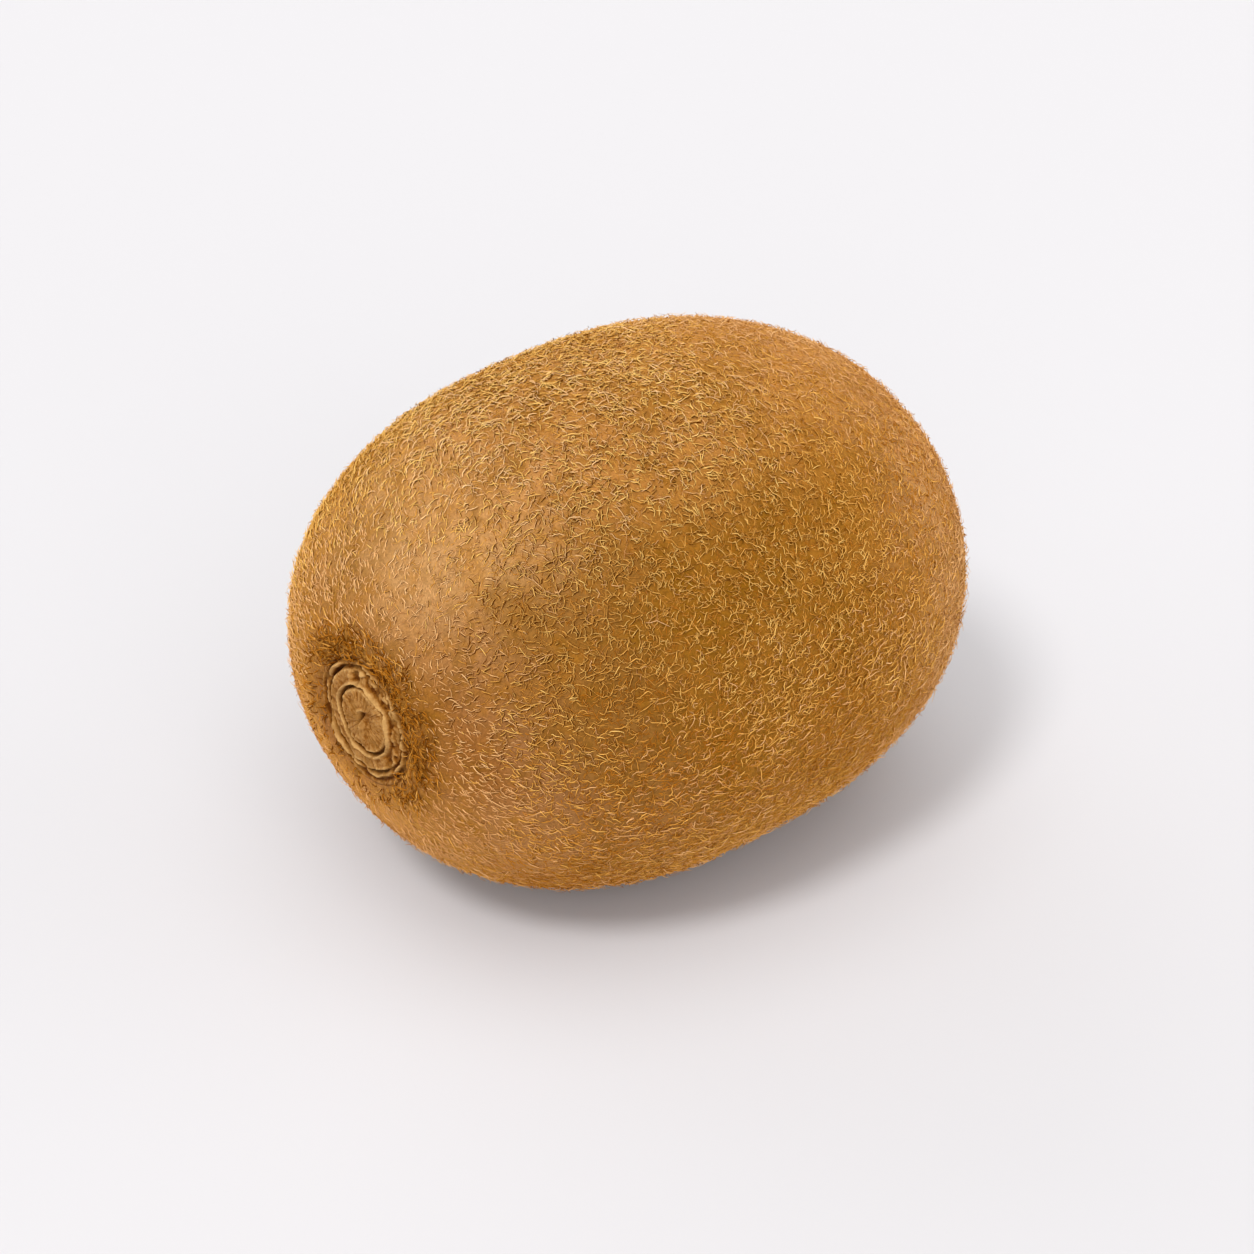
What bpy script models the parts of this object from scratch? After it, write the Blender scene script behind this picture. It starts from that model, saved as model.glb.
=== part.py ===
"""A whole kiwi fruit lying on its side, as one grown body.

Metres, +Z up. The long axis runs along X, from the stem end at -X to the blossom end at +X.
The origin is under the middle of the fruit, on the small flat spot that it rests on.
"""

import math

import bmesh
import bpy
from mathutils import Vector

# Driving dimensions of the body
LENGTH = 0.068  # from the stem end to the blossom end, before the ends are shaped
WIDTH = 0.0556  # the broader side lies level
HEIGHT = 0.0502
FULLNESS = 2.38  # exponent of the outline from end to end: 2 is an ellipse, more is blunter
TAPER = 0.006  # how much thicker the blossom half is than the stem half
LOBES = ((3, 0.0045, 0.6), (5, 0.0025, 1.9))  # (count, share of the radius, turn) of the soft ribs
FLAT_DEPTH = 0.0003  # how far the resting side is pressed flat

# Stem end: the stalk's round scar, in two torn rings of dry sepal, in a shallow dimple
DIMPLE = (0.0088, 0.0040, 0.0011)  # radius at its edge, radius of its level floor, depth
SCAR_DOME = (0.0034, 0.0003)  # radius of the scar, how much higher its middle stands than its edge
SCAR_PIT = (0.0007, 0.0006)  # radius, depth
INNER_RING = (0.00425, 0.00040, 0.00095, 0.4)  # radius, half width, height, turn of its torn edge
OUTER_RING = (0.0058, 0.00030, 0.00050, 3.1)
RING_WANDER = 0.035  # share of a ring's radius by which it leaves a true circle
RING_RAGGEDNESS = 0.35  # share of a ring's height by which its edge rises and falls
GROOVES = ((0.0036, 0.00025, 0.00045), (0.0051, 0.00032, 0.00050))  # radius, half width, depth

# Blossom end: a low nub where the dried styles were
NUB = (0.0021, 0.0011, 0.1)  # radius, height, share of the height by which it is uneven
NUB_TURN = 1.2
NUB_MOAT = (0.0043, 0.0011, 0.00045)  # radius, half width, depth

# An uneven wave round a ring, as (waves in a full turn, size, turn of this wave per turn of the whole)
RAGGED_WAVES = ((2, 1.0, 1.0), (5, 0.6, -1.7), (9, 0.5, 2.3))
EDGE_TURN = 2.0  # keeps a ring's rise and fall out of step with its wander

# Mesh
SIDES = 56
STEM_RINGS = [0.0004 * i for i in range(1, 18)]  # radii of the rings over the shaped stem end
BODY_RINGS = 34
BLOSSOM_RINGS = [0.0007 * i for i in range(9, 0, -1)]

SKIN_COLOUR = (0.42, 0.22, 0.075, 1.0)
SKIN_ROUGHNESS = 0.85


def bump(distance, half_width):
    """A smooth hill, 1 in the middle and fading past half_width."""
    return math.exp(-((distance / half_width) ** 2))


def fade(value, low, high):
    """0 up to low, 1 from high on, smooth between."""
    share = min(1.0, max(0.0, (value - low) / (high - low)))
    return share * share * (3.0 - 2.0 * share)


def ragged(angle, turn):
    """An uneven wave round a ring, between about -1 and 1."""
    waves = (size * math.sin(count * angle + lead * turn) for count, size, lead in RAGGED_WAVES)
    return sum(waves) / sum(size for _, size, _ in RAGGED_WAVES)


def ring_height(radius, angle, ring):
    """The height of a torn ring: it wanders a little, and its edge is uneven."""
    middle, half_width, height, turn = ring
    middle *= 1.0 + RING_WANDER * ragged(angle, turn)
    edge = 1.0 + RING_RAGGEDNESS * ragged(angle, turn + EDGE_TURN)
    return height * edge * bump(radius - middle, half_width)


def stem_relief(radius, angle):
    """How far the surface stands out along the axis at the stem end, which is below 0 in the dimple."""
    edge, floor, depth = DIMPLE
    scar_radius, dome = SCAR_DOME
    pit_radius, pit_depth = SCAR_PIT
    height = -depth * (1.0 - fade(radius, floor, edge))
    height += dome * (1.0 - fade(radius, 0.0, scar_radius))
    height -= pit_depth * bump(radius, pit_radius)
    height += ring_height(radius, angle, INNER_RING)
    height += ring_height(radius, angle, OUTER_RING)
    for middle, half_width, groove_depth in GROOVES:
        height -= groove_depth * bump(radius - middle, half_width)
    return height


def blossom_relief(radius, angle):
    """How far the surface stands out along the axis at the blossom end."""
    nub_radius, nub_height, unevenness = NUB
    middle, half_width, depth = NUB_MOAT
    nub = nub_height * bump(radius, nub_radius) * (1.0 + unevenness * ragged(angle, NUB_TURN))
    return nub - depth * bump(radius - middle, half_width)


def lobed(angle):
    """The factor on the radius that the soft ribs make."""
    return 1.0 + sum(share * math.cos(count * angle + turn) for count, share, turn in LOBES)


def skin_point(axial, radial, angle):
    """A point of the fruit about its middle; axial and radial are shares of the half length and width."""
    swell = radial * (1.0 + TAPER * axial) * lobed(angle)
    y = 0.5 * WIDTH * swell * math.cos(angle)
    z = 0.5 * HEIGHT * swell * math.sin(angle)
    x = 0.5 * LENGTH * axial
    relief = stem_relief if axial < 0.0 else blossom_relief
    return Vector((x + math.copysign(1.0, axial) * relief(math.hypot(y, z), angle), y, z))


def outline():
    """(axial, radial) shares from the stem end to the blossom end, without the two poles."""
    mean_half = 0.25 * (WIDTH + HEIGHT)
    stem = [radius / mean_half for radius in STEM_RINGS]
    blossom = [radius / mean_half for radius in BLOSSOM_RINGS]
    start = math.asin(stem[-1] ** (FULLNESS / 2.0))
    stop = math.pi - math.asin(blossom[0] ** (FULLNESS / 2.0))
    stations = [(-((1.0 - r**FULLNESS) ** (1.0 / FULLNESS)), r) for r in stem]
    for i in range(1, BODY_RINGS):
        turn = start + (stop - start) * i / BODY_RINGS
        axial = -math.copysign(abs(math.cos(turn)) ** (2.0 / FULLNESS), math.cos(turn))
        stations.append((axial, math.sin(turn) ** (2.0 / FULLNESS)))
    stations += [((1.0 - r**FULLNESS) ** (1.0 / FULLNESS), r) for r in blossom]
    return stations


def skin_mesh():
    """The fruit's surface as rings of points joined from pole to pole, with its resting side cut flat."""
    body = bmesh.new()
    rings = []
    for axial, radial in outline():
        angles = (2.0 * math.pi * i / SIDES for i in range(SIDES))
        rings.append([body.verts.new(skin_point(axial, radial, angle)) for angle in angles])
    for near, far in zip(rings, rings[1:]):
        for i in range(SIDES):
            after = (i + 1) % SIDES
            body.faces.new((near[i], near[after], far[after], far[i]))
    for ring, axial in ((rings[0], -1.0), (rings[-1], 1.0)):
        pole = body.verts.new(skin_point(axial, 0.0, 0.0))
        for i in range(SIDES):
            body.faces.new((ring[i], ring[(i + 1) % SIDES], pole))
    for face in body.faces:
        face.smooth = True
    press_flat(body)
    bmesh.ops.recalc_face_normals(body, faces=body.faces)
    return body


def press_flat(body):
    """Cuts the lowest FLAT_DEPTH off and closes the cut with one level face."""
    lowest = min(vert.co.z for vert in body.verts)
    cut = bmesh.ops.bisect_plane(
        body,
        geom=body.verts[:] + body.edges[:] + body.faces[:],
        dist=1e-6,
        plane_co=(0.0, 0.0, lowest + FLAT_DEPTH),
        plane_no=(0.0, 0.0, -1.0),
        clear_outer=True,
    )
    rim = [item for item in cut["geom_cut"] if isinstance(item, bmesh.types.BMEdge)]
    for edge in rim:
        edge.smooth = False
    bmesh.ops.contextual_create(body, geom=rim)


def settle(body):
    """Moves the fruit so that the origin is at the middle of its box in plan, on its flat spot."""
    low = Vector([min(vert.co[k] for vert in body.verts) for k in range(3)])
    high = Vector([max(vert.co[k] for vert in body.verts) for k in range(3)])
    middle = (low + high) / 2.0
    bmesh.ops.translate(body, verts=body.verts, vec=(-middle.x, -middle.y, -low.z))


def skin_material():
    material = bpy.data.materials.new("fuzzy_brown_skin")
    material.use_nodes = True
    shader = material.node_tree.nodes["Principled BSDF"]
    shader.inputs["Base Color"].default_value = SKIN_COLOUR
    shader.inputs["Roughness"].default_value = SKIN_ROUGHNESS
    shader.inputs["Metallic"].default_value = 0.0
    return material


def clear_scene():
    for obj in list(bpy.data.objects):
        bpy.data.objects.remove(obj)


def make_fruit():
    body = skin_mesh()
    settle(body)
    mesh = bpy.data.meshes.new("kiwi_fruit")
    body.to_mesh(mesh)
    body.free()
    mesh.materials.append(skin_material())
    fruit = bpy.data.objects.new("kiwi_fruit", mesh)
    bpy.context.scene.collection.objects.link(fruit)
    return fruit


clear_scene()
make_fruit()
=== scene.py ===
"""The looks of the kiwi fruit: its brown skin, the torn stalk scar at the stem end, the dry styles at the
blossom end, and the fuzz of short curly hairs, on a pale studio floor.

Metres, +Z up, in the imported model's frame: the long axis runs along X, from the stem end at -X to the blossom
end. The fruit's own shape is worked out in millimetres.
"""

import itertools
import math
from types import SimpleNamespace

import bpy
import numpy as np
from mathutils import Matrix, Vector


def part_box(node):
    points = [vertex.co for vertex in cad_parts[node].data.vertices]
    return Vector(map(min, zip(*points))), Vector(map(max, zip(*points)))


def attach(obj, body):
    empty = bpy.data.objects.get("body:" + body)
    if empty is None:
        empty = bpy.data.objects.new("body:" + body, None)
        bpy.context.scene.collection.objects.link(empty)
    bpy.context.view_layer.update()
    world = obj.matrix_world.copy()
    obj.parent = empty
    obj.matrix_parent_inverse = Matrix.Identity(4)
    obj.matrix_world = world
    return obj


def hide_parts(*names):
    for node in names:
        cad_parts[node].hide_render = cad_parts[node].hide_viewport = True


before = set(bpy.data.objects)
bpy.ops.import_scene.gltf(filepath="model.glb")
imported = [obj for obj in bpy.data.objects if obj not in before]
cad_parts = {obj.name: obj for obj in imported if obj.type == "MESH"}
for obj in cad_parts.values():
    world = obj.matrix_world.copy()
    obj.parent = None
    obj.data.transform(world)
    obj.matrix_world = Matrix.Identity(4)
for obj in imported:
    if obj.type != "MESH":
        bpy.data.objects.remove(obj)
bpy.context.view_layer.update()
NODE = "kiwi_fruit"
MM = 0.001
UV_MAP = "OFBake"

# ------------------------------------------------ the fruit's shape, as the CAD model has it, in mm
HALF = np.array([34.0, 27.8, 25.1])
FRUIT_LENGTH = 69.0  # the skin's colours change along this length
FULLNESS = 2.38  # exponent of the outline from end to end: 2 is an ellipse, more is blunter
TAPER = 0.006  # how much thicker the blossom half is than the stem half
LOBES = ((3, 0.0045, 0.6), (5, 0.0025, 1.9))  # (count, share of the radius, turn) of the soft ribs
DIMPLE = (8.8, 4.0, 1.1)  # radius at its edge, radius of its level floor, depth
INNER_RING = (4.25, 0.40, 0.95, 0.4)  # radius, half width, height, turn of its torn edge
OUTER_RING = (5.8, 0.30, 0.50, 3.1)
RING_WANDER = 0.035  # share of a ring's radius by which it leaves a true circle
RING_RAGGEDNESS = 0.35  # share of a ring's height by which its edge rises and falls
EDGE_TURN = 2.0  # keeps a ring's rise and fall out of step with its wander
GROOVES = ((3.6, 0.25, 0.45), (5.1, 0.32, 0.50))  # radius, half width, depth
SCAR_DOME = (3.4, 0.3)  # radius, height
SCAR_PIT = (0.7, 0.6)  # radius, depth
NUB = (2.1, 1.1, 0.1, 1.2)  # radius, height, share by which it is uneven, turn
NUB_MOAT = (4.3, 1.1, 0.45)  # radius, half width, depth
# an uneven wave round a ring, as (waves in a full turn, size, turn of this wave per turn of the whole)
RAGGED_WAVES = ((2, 1.0, 1.0), (5, 0.6, -1.7), (9, 0.5, 2.3))
POLE_GAP = 1e-4  # the surface's formulas stop this short of the poles

# places on the skin, in mm from the fruit's middle
HIGHLIGHT_SPOT = np.array([-25.0, -1.2, 19.2])  # a paler place on the shoulder, also its painted highlight
DARK_SPOT = np.array([-18.0, -20.5, 8.0])  # a darker one on the flank
SCAR_EDGE, TIP_EDGE = 6.9, 2.9  # the caps on the two ends reach this far from the axis

# the hashing that gives noise its value at each corner of a grid
CORNER_PRIMES = (73856093, 19349663, 83492791)
MIXERS = (2654435761, 2246822519)
LOW_BITS = 0xFFFFFFFF
SEED_STEP = 31.7


def noise(points, size, seed):
    """Smooth noise from -1 to 1 at points (..., 3), with features of the given size."""
    scaled = np.asarray(points) / size + SEED_STEP * seed
    cell = np.floor(scaled).astype(np.int64)
    part = scaled - cell
    part = part * part * part * (part * (part * 6.0 - 15.0) + 10.0)
    total = 0.0
    for corner in itertools.product((0, 1), repeat=3):
        x, y, z = ((cell[..., k] + corner[k]) * CORNER_PRIMES[k] for k in range(3))
        mixed = ((x ^ y ^ z) & LOW_BITS) * MIXERS[0] & LOW_BITS
        mixed = (mixed ^ (mixed >> 15)) * MIXERS[1] & LOW_BITS
        value = (mixed ^ (mixed >> 13)) / (LOW_BITS >> 1) - 1.0
        for k in range(3):
            value = value * (part[..., k] if corner[k] else 1.0 - part[..., k])
        total = total + value
    return total


def fractal(points, size, seed):
    """Noise with two finer layers of noise on it, roughly from -1 to 1."""
    return sum(noise(points, size / 2**k, seed + k) / 2**k for k in range(3)) / 1.4


def bump(distance, half_width):
    """A smooth hill, 1 in the middle and fading past half_width."""
    return np.exp(-((distance / half_width) ** 2))


def fade(value, low, high):
    """0 up to low, 1 from high on, smooth between."""
    share = np.clip((value - low) / (high - low), 0.0, 1.0)
    return share * share * (3.0 - 2.0 * share)


def ragged(angle, turn):
    """An uneven wave round a ring, between about -1 and 1."""
    waves = sum(size * np.sin(count * angle + lead * turn) for count, size, lead in RAGGED_WAVES)
    return waves / sum(size for _, size, _ in RAGGED_WAVES)


def ring_height(radius, angle, ring):
    """The height of a torn ring: it wanders a little, and its edge is uneven."""
    middle, half_width, height, turn = ring
    middle = middle * (1.0 + RING_WANDER * ragged(angle, turn))
    edge = 1.0 + RING_RAGGEDNESS * ragged(angle, turn + EDGE_TURN)
    return height * edge * bump(radius - middle, half_width)


def dimple(radius):
    """How far the CAD surface stands out for the stem end's dimple alone, which is below 0."""
    edge, floor, depth = DIMPLE
    return -depth * (1.0 - fade(radius, floor, edge))


def stem_relief(radius, angle):
    """How far the CAD surface stands out at the stem end."""
    height = dimple(radius) + SCAR_DOME[1] * (1.0 - fade(radius, 0.0, SCAR_DOME[0]))
    height -= SCAR_PIT[1] * bump(radius, SCAR_PIT[0])
    height += ring_height(radius, angle, INNER_RING) + ring_height(radius, angle, OUTER_RING)
    for middle, half_width, depth in GROOVES:
        height -= depth * bump(radius - middle, half_width)
    return height


def blossom_relief(radius, angle):
    """How far the CAD surface stands out at the blossom end."""
    nub_radius, height, unevenness, turn = NUB
    moat_radius, moat_width, moat_depth = NUB_MOAT
    nub = height * bump(radius, nub_radius) * (1.0 + unevenness * ragged(angle, turn))
    return nub - moat_depth * bump(radius - moat_radius, moat_width)


def body(turn, angle, ringed=True):
    """Points (mm, about the fruit's middle) of its surface. turn runs from 0 at the stem pole to pi. Without
    rings, the stem end has only its dimple."""
    side = -np.sign(np.cos(turn))
    axial = side * np.abs(np.cos(turn)) ** (2.0 / FULLNESS)
    swell = np.sin(turn) ** (2.0 / FULLNESS) * (1.0 + TAPER * axial)
    swell = swell * (1.0 + sum(share * np.cos(count * angle + lead) for count, share, lead in LOBES))
    y = HALF[1] * swell * np.cos(angle)
    z = HALF[2] * swell * np.sin(angle)
    radius = np.hypot(y, z)
    stem = stem_relief(radius, angle) if ringed else dimple(radius)
    out = np.where(side < 0.0, stem, blossom_relief(radius, angle))
    return np.stack([HALF[0] * axial + side * out, y, z], axis=-1)


def placed():
    """The shift (mm) that puts the surface into the CAD model's box."""
    turns = np.linspace(10.0 * POLE_GAP, math.pi - 10.0 * POLE_GAP, 700)
    turn, angle = np.meshgrid(turns, np.linspace(0.0, 2.0 * math.pi, 720))
    points = body(turn, angle).reshape(-1, 3)
    low, high = (np.array(corner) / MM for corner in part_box(NODE))
    middle = (low + high) / 2.0 - (points.min(0) + points.max(0)) / 2.0
    return np.array([middle[0], middle[1], high[2] - points[:, 2].max()])


SHIFT = placed()
TURNS = np.linspace(POLE_GAP, math.pi - POLE_GAP, 4001)
MERIDIAN = body(TURNS, np.full_like(TURNS, 0.25 * math.pi), ringed=False)
STEPS = np.linalg.norm(np.diff(MERIDIAN, axis=0), axis=1)
ARC = np.concatenate([[0.0], np.cumsum(STEPS)])  # mm along the skin from the stem pole


def skin(arc, angle):
    """Points (mm) on the smooth skin, arc mm along it from the stem pole."""
    return body(np.interp(arc, ARC, TURNS), angle, ringed=False)


def unit(ways):
    """The same ways, each 1 long."""
    return ways / np.linalg.norm(ways, axis=-1, keepdims=True)


def mesh_object(name, points, polygons, sizes, uv, material):
    """A smooth mesh piece from arrays. points are in mm about the fruit's middle, and sizes says how many
    corners each polygon has."""
    mesh = bpy.data.meshes.new(name)
    places = (np.asarray(points, float).reshape(-1, 3) + SHIFT) * MM
    places[:, 2] = np.maximum(places[:, 2], 0.0)
    mesh.vertices.add(len(places))
    mesh.vertices.foreach_set("co", places.astype(np.float32).ravel())
    mesh.loops.add(len(polygons))
    mesh.loops.foreach_set("vertex_index", np.asarray(polygons, np.int32))
    mesh.polygons.add(len(sizes))
    starts = np.concatenate([[0], np.cumsum(sizes)[:-1]])
    mesh.polygons.foreach_set("loop_start", starts.astype(np.int32))
    mesh.update(calc_edges=True)
    mesh.shade_smooth()
    layer = mesh.uv_layers.new(name=UV_MAP)
    layer.uv.foreach_set("vector", np.asarray(uv, np.float32).ravel())
    mesh.materials.append(material)
    piece = bpy.data.objects.new(name, mesh)
    bpy.context.scene.collection.objects.link(piece)
    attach(piece, "root")
    return piece


# ------------------------------------------------ skin
SKIN_CELLS = 126  # cells along one side of each of the six patches
SKIN_UV_GAP = 0.006  # share of a patch's side that stays free round it in the map
WELD_STEPS = 1e5  # directions that agree to one part in this many are one vertex
INSET = 0.28  # the bare skin lies this far (mm) inside the outline that the fuzz gives the fruit
SCAR_TUCK = 0.9  # and it dips this much (mm) more under the scar piece


def cube_sphere(cells):
    """Directions (6, cells + 1, cells + 1, 3) of a cube blown up to a ball, nearly even."""
    across = np.tan(np.linspace(-0.25, 0.25, cells + 1) * math.pi)
    u, v = np.meshgrid(across, across, indexing="ij")
    one = np.ones_like(u)
    faces = [(one, u, v), (-one, -u, v), (-u, one, v), (u, -one, v), (-v, u, one), (v, u, -one)]
    return unit(np.stack([np.stack(face, -1) for face in faces]))


def skin_detail(points):
    """How far (mm) the skin lies off the smooth outline: soft dents, and fine pebbling between the hairs."""
    fine = 0.10 * noise(points, 9.0, 3) + 0.045 * noise(points, 2.6, 5) + 0.03 * noise(points, 0.95, 7)
    return fine - INSET


def skin_points(ways):
    """Points (mm) of the bare skin, in the given directions from the middle of a ball."""
    turn = np.arccos(np.clip(-ways[..., 0], -1.0, 1.0))
    angle = np.arctan2(ways[..., 2], ways[..., 1])
    base = body(np.clip(turn, POLE_GAP, math.pi - POLE_GAP), angle, ringed=False)
    radius = np.hypot(base[..., 1], base[..., 2])
    under_scar = np.where(base[..., 0] < 0.0, 1.0 - fade(radius, SCAR_EDGE - 1.1, SCAR_EDGE - 0.1), 0.0)
    points = base + unit(ways / HALF) * skin_detail(base)[..., None]
    points[..., 0] += SCAR_TUCK * under_scar
    return points


def skin_uv(side):
    """A map (6, side, side, 2) with the six patches side by side in two rows."""
    share = SKIN_UV_GAP + (1.0 - 2.0 * SKIN_UV_GAP) * np.linspace(0.0, 1.0, side)
    u, v = np.meshgrid(share, share, indexing="ij")
    return np.stack([np.stack([(i % 3 + u) / 3.0, (i // 3 + v) / 2.0], -1) for i in range(6)])


def make_skin(material):
    ways = cube_sphere(SKIN_CELLS)
    points = skin_points(ways).reshape(-1, 3)
    side = SKIN_CELLS + 1
    index = np.arange(6 * side * side).reshape(6, side, side)
    quads = [index[:, :-1, :-1], index[:, 1:, :-1], index[:, 1:, 1:], index[:, :-1, 1:]]
    quads = np.stack(quads, -1).reshape(-1, 4)
    ways = ways.reshape(-1, 3)
    a, b, c = (ways[quads[:, k]] for k in (0, 1, 2))
    outward = np.einsum("ij,ij->i", np.cross(b - a, c - a), a) > 0.0
    quads[~outward] = quads[~outward][:, ::-1]
    # the patches' shared edges become one vertex each
    welded = np.round(ways * WELD_STEPS).astype(np.int64)
    _, first, back = np.unique(welded, axis=0, return_index=True, return_inverse=True)
    corners = quads.reshape(-1)
    uv = skin_uv(side).reshape(-1, 2)[corners]
    corners = back.reshape(-1)[corners]
    piece = mesh_object("skin", points[first], corners, np.full(len(quads), 4), uv, material)
    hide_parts(NODE)


# ------------------------------------------------ stem scar and blossom end
# radii (mm) in the stem scar, from the axis outward
DISC_EDGE, DISC_GAP = 3.16, 3.30  # the dry disc in the middle, and the gap round it
LAYER_START, LAYER_LIP, LAYER_END, LAYER_GAP = 3.46, 3.58, 5.02, 5.20  # the broad torn layer
RIM, RIM_GAP = 5.60, 5.98  # the thin outer layer
TORN_WAY = 2.7  # the layers are most broken at this angle round the axis
CAP_SINK = 0.9 * INSET  # the caps' relief is measured from this far (mm) under the smooth outline
CAVITY_REACH = 9  # rings and sides of a cap's mesh that count as surroundings, each way


def step(value, middle, half_width):
    """From 0 to 1 as value passes middle."""
    return fade(value, middle - half_width, middle + half_width)


def disc_height(radius, wavy, points, coarse, fibre):
    """The scar's dry disc, with a crack across it and a torn lip on each side of the crack."""
    y, z = points[..., 1], points[..., 2]
    across = y * 0.75 + z * 0.65 - 0.20 + 0.55 * noise(points, 0.9, 29)
    along = y * 0.65 - z * 0.75 - 0.10
    disc = 0.40 + 0.18 * coarse + 0.09 * fibre * fade(radius, 0.4, 1.4)
    disc = disc * (1.0 - step(wavy, DISC_EDGE, 0.18))
    crack = 0.60 * bump(across, 0.26) * bump(along, 0.75)
    upper_lip = 0.26 * bump(across + 0.55, 0.26) * bump(along - 0.3, 0.6)
    lower_lip = 0.20 * bump(across - 0.6, 0.2) * bump(along + 0.5, 0.5)
    return disc - crack + upper_lip + lower_lip - 0.24 * bump(wavy - DISC_GAP, 0.14)


def layer_height(radius, wavy, jagged, points, torn_side, coarse, fibre):
    """The broad torn layer round the disc, broken away in places on the torn side."""
    lip = np.clip(0.20 + 0.22 * noise(points, 0.8, 35), 0.0, 0.5) * bump(wavy - LAYER_LIP, 0.13)
    layer = 0.40 - 0.07 * (jagged - 4.2) + 0.07 * fibre + 0.13 * coarse + lip
    broken = fade(torn_side * (0.75 + 0.7 * noise(points, 1.1, 33)), 0.35, 0.75)
    layer = layer * step(wavy, LAYER_START, 0.10) * (1.0 - step(jagged, LAYER_END, 0.16))
    layer = layer * (1.0 - 0.85 * broken * step(radius, 3.85, 0.2))
    return layer - 0.24 * bump(jagged - LAYER_GAP, 0.14) * (1.0 + 0.5 * coarse)


def scar_height(radius, angle, points):
    """Height (mm) of the scar piece over the smooth skin's dimple: a dry disc, and torn layers round it."""
    torn_side = 0.15 + 0.85 * fade(np.cos(angle - TORN_WAY), -0.4, 0.7)
    wobble = 0.22 * noise(points, 2.6, 21) + 0.09 * noise(points, 1.0, 22)
    wavy = radius + wobble
    jagged = radius + (wobble + 0.09 * noise(points, 0.45, 23) + 0.26 * noise(points, 1.2, 24) * torn_side)
    round_about = np.stack([np.cos(angle) * 7.0, np.sin(angle) * 7.0, radius * 0.30], -1)
    fibre = fractal(round_about, 0.42, 27)  # ridges that run outward
    coarse = noise(points, 1.2, 28)
    height = disc_height(radius, wavy, points, coarse, fibre)
    height += layer_height(radius, wavy, jagged, points, torn_side, coarse, fibre)
    rim = np.clip(0.34 + 0.45 * noise(points, 1.7, 47) + 0.14 * fibre, 0.0, 0.8)
    height += rim * bump(jagged - RIM, 0.20) - 0.20 * bump(jagged - RIM_GAP, 0.22)
    chips = fade(noise(points, 0.75, 49) + 0.6 * noise(points, 0.35, 50), 0.10, 0.45)
    height += 0.30 * chips * bump(radius - 4.9, 0.9) * torn_side
    height += 0.08 * fractal(points, 0.45, 25) + 0.05 * fractal(points, 0.20, 51)
    edge = SCAR_EDGE - radius
    return height * fade(edge, 0.0, 0.75) - 0.30 * (1.0 - fade(edge, 0.0, 0.55)) - CAP_SINK


def tip_height(radius, _, points):
    """Height (mm) of the crust on the blossom end's nub."""
    crust = 0.16 + 0.20 * fractal(points, 0.9, 63) + 0.10 * fractal(points, 0.3, 65)
    crust = crust - 0.45 * bump(radius, 0.45)
    cover = 1.0 - fade(radius + 0.4 * noise(points, 0.8, 66), 1.3, TIP_EDGE - 0.25)
    return crust * cover - 0.22 * (1.0 - cover) - CAP_SINK


def cavity_shade(height):
    """0 in the narrow gaps of a relief and 1 on its edges, from its difference to its surroundings and its
    height: it sets the painted shade in the gaps and the painted highlight on the edges.
    """
    inner, outer = height[:1].repeat(CAVITY_REACH, 0), height[-1:].repeat(CAVITY_REACH, 0)
    padded = np.concatenate([inner, height, outer])
    window = 2 * CAVITY_REACH + 1
    mean = sum(padded[k:k + len(height)] for k in range(window)) / window
    mean = sum(np.roll(mean, k, axis=1) for k in range(-CAVITY_REACH, CAVITY_REACH + 1)) / window
    return np.clip(0.5 + 1.4 * (height - mean) + 0.35 * (height + CAP_SINK - 0.35), 0.0, 1.0)


def smooth_end(side, radius, angle):
    """How far the smooth skin stands out at the stem end (side -1) or the blossom end."""
    return dimple(radius) if side < 0 else blossom_relief(radius, angle)


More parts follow.
